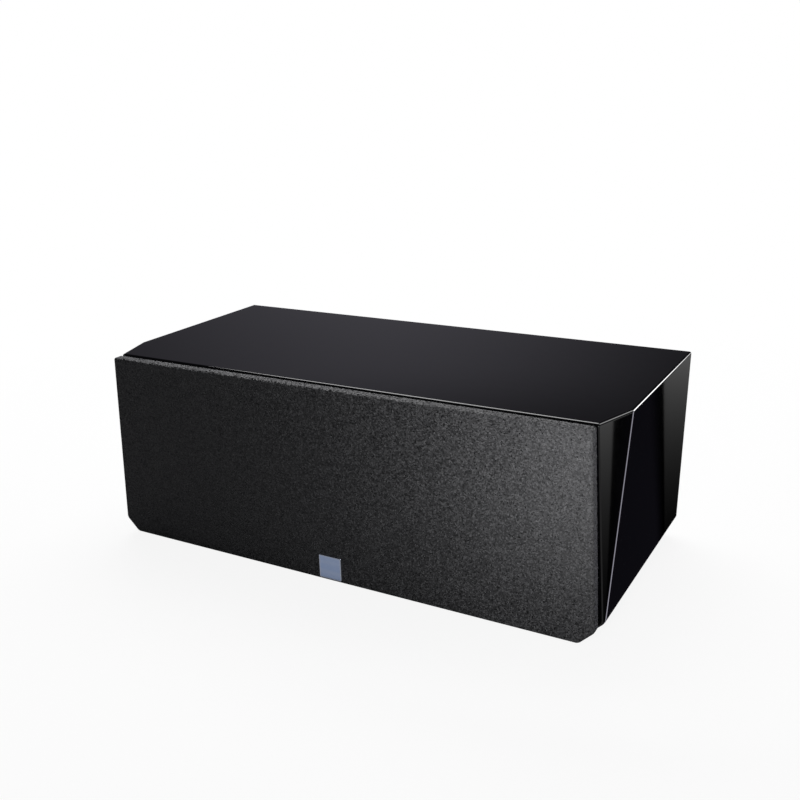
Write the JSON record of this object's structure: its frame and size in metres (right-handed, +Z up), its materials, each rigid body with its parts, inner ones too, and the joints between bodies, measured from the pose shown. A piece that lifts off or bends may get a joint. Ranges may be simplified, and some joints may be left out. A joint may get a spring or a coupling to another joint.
{
  "type": "center channel speaker",
  "caption": "Wide low loudspeaker cabinet with cut front corners, drivers behind a pull-off cloth grille, rear ports and binding posts for speaker wire.",
  "frame": {"origin": "under the middle of the object, on the plane its feet stand on", "axes": "+X to the right seen from the front, +Y from the grille to the back panel, +Z up"},
  "size_m": [0.48, 0.2346, 0.18],
  "materials": {
    "gloss_lacquer": "piano gloss black lacquer on fibreboard",
    "baffle_black": "satin black paint on fibreboard",
    "raw_board": "bare medium density fibreboard",
    "damping_wool": "polyester wool",
    "foot_rubber": "black rubber",
    "grille_board": "black dyed fibreboard",
    "grille_fabric": "fine black acoustic knit",
    "badge_metal": "blue-grey anodised plate",
    "basket_metal": "satin black casting",
    "cone_sheet": "black polypropylene",
    "surround_rubber": "black butyl rubber",
    "spider_cloth": "resin treated cotton",
    "coil_former": "aluminium former with copper winding",
    "plate_steel": "zinc plated steel",
    "ferrite": "sintered ferrite",
    "dome_aluminium": "drawn aluminium dome",
    "face_plastic": "satin black moulding",
    "port_plastic": "black moulded plastic",
    "post_metal": "gold plated brass",
    "cap_red": "clear red plastic over metal",
    "cap_black": "black plastic over metal",
    "circuit_board": "green circuit board",
    "copper_wire": "enamelled copper winding",
    "capacitor_film": "yellow film wrap",
    "resistor_cement": "white cement",
    "screw_steel": "black oxide steel"
  },
  "bodies": {
    "cabinet": {"cabinet_shell": "gloss_lacquer", "front_baffle": "baffle_black", "back_panel": "baffle_black", "cabinet_braces": "raw_board", "midrange_chamber": "raw_board", "damping_pads": "damping_wool", "rubber_feet": "foot_rubber", "grille_sockets": "foot_rubber", "driver_screws": "screw_steel", "terminal_cup": "port_plastic", "terminal_screws": "screw_steel", "crossover_board": "circuit_board", "crossover_coils": "copper_wire", "crossover_capacitors": "capacitor_film", "crossover_resistors": "resistor_cement", "tweeter_faceplate": "face_plastic", "tweeter_surround": "surround_rubber", "tweeter_top_plate": "plate_steel", "tweeter_magnet": "ferrite", "tweeter_yoke": "plate_steel", "left_port": "port_plastic", "right_port": "port_plastic", "red_post_stud": "post_metal", "black_post_stud": "post_metal", "left_woofer_basket": "basket_metal", "left_woofer_surround": "surround_rubber", "left_woofer_top_plate": "plate_steel", "left_woofer_magnet": "ferrite", "left_woofer_yoke": "plate_steel", "right_woofer_basket": "basket_metal", "right_woofer_surround": "surround_rubber", "right_woofer_top_plate": "plate_steel", "right_woofer_magnet": "ferrite", "right_woofer_yoke": "plate_steel", "midrange_basket": "basket_metal", "midrange_surround": "surround_rubber", "midrange_top_plate": "plate_steel", "midrange_magnet": "ferrite", "midrange_yoke": "plate_steel"},
    "left_woofer_cone": {"left_woofer_cone": "cone_sheet", "left_woofer_dust_cap": "cone_sheet", "left_woofer_voice_coil": "coil_former", "left_woofer_spider": "spider_cloth"},
    "right_woofer_cone": {"right_woofer_cone": "cone_sheet", "right_woofer_dust_cap": "cone_sheet", "right_woofer_voice_coil": "coil_former", "right_woofer_spider": "spider_cloth"},
    "midrange_cone": {"midrange_cone": "cone_sheet", "midrange_dust_cap": "cone_sheet", "midrange_voice_coil": "coil_former", "midrange_spider": "spider_cloth"},
    "tweeter_dome": {"tweeter_dome": "dome_aluminium", "tweeter_voice_coil": "coil_former"},
    "grille": {"grille_frame": "grille_board", "grille_cloth": "grille_fabric", "grille_badge": "badge_metal"},
    "red_clamp": {"red_post_washer": "post_metal"},
    "red_cap": {"red_post_cap": "cap_red"},
    "black_clamp": {"black_post_washer": "post_metal"},
    "black_cap": {"black_post_cap": "cap_black"}
  },
  "joints": [
    {"name": "left_woofer_stroke", "type": "slide", "parent": "cabinet", "child": "left_woofer_cone", "axis": [0, -1, 0], "range_m": [-0.005, 0.005], "stiffness_N_per_m": 1400, "deforming": ["left_woofer_surround", "left_woofer_spider"]},
    {"name": "right_woofer_stroke", "type": "slide", "parent": "cabinet", "child": "right_woofer_cone", "axis": [0, -1, 0], "range_m": [-0.005, 0.005], "stiffness_N_per_m": 1400, "deforming": ["right_woofer_surround", "right_woofer_spider"]},
    {"name": "midrange_stroke", "type": "slide", "parent": "cabinet", "child": "midrange_cone", "axis": [0, -1, 0], "range_m": [-0.002, 0.002], "stiffness_N_per_m": 2500, "deforming": ["midrange_surround", "midrange_spider"]},
    {"name": "tweeter_stroke", "type": "slide", "parent": "cabinet", "child": "tweeter_dome", "axis": [0, -1, 0], "range_m": [-0.0003, 0.0003], "stiffness_N_per_m": 8000, "deforming": ["tweeter_surround"]},
    {"name": "grille_pull", "type": "slide", "parent": "cabinet", "child": "grille", "axis": [0, -1, 0], "range_m": [0, 0.06]},
    {"name": "red_clamp_lift", "type": "slide", "parent": "cabinet", "child": "red_clamp", "axis": [0, 1, 0], "range_m": [0, 0.0045]},
    {"name": "red_cap_turn", "type": "hinge", "parent": "red_clamp", "child": "red_cap", "pos_m": [0.00953, 0.0933, 0.092], "axis": [0, 1, 0], "range_deg": [0, 1620]},
    {"name": "black_clamp_lift", "type": "slide", "parent": "cabinet", "child": "black_clamp", "axis": [0, 1, 0], "range_m": [0, 0.0045]},
    {"name": "black_cap_turn", "type": "hinge", "parent": "black_clamp", "child": "black_cap", "pos_m": [-0.00953, 0.0933, 0.092], "axis": [0, 1, 0], "range_deg": [0, 1620]}
  ],
  "couplings": [
    {"joint": "red_cap_turn", "follows": "red_clamp_lift", "rad_per_m": 6283.2},
    {"joint": "black_cap_turn", "follows": "black_clamp_lift", "rad_per_m": 6283.2}
  ]
}
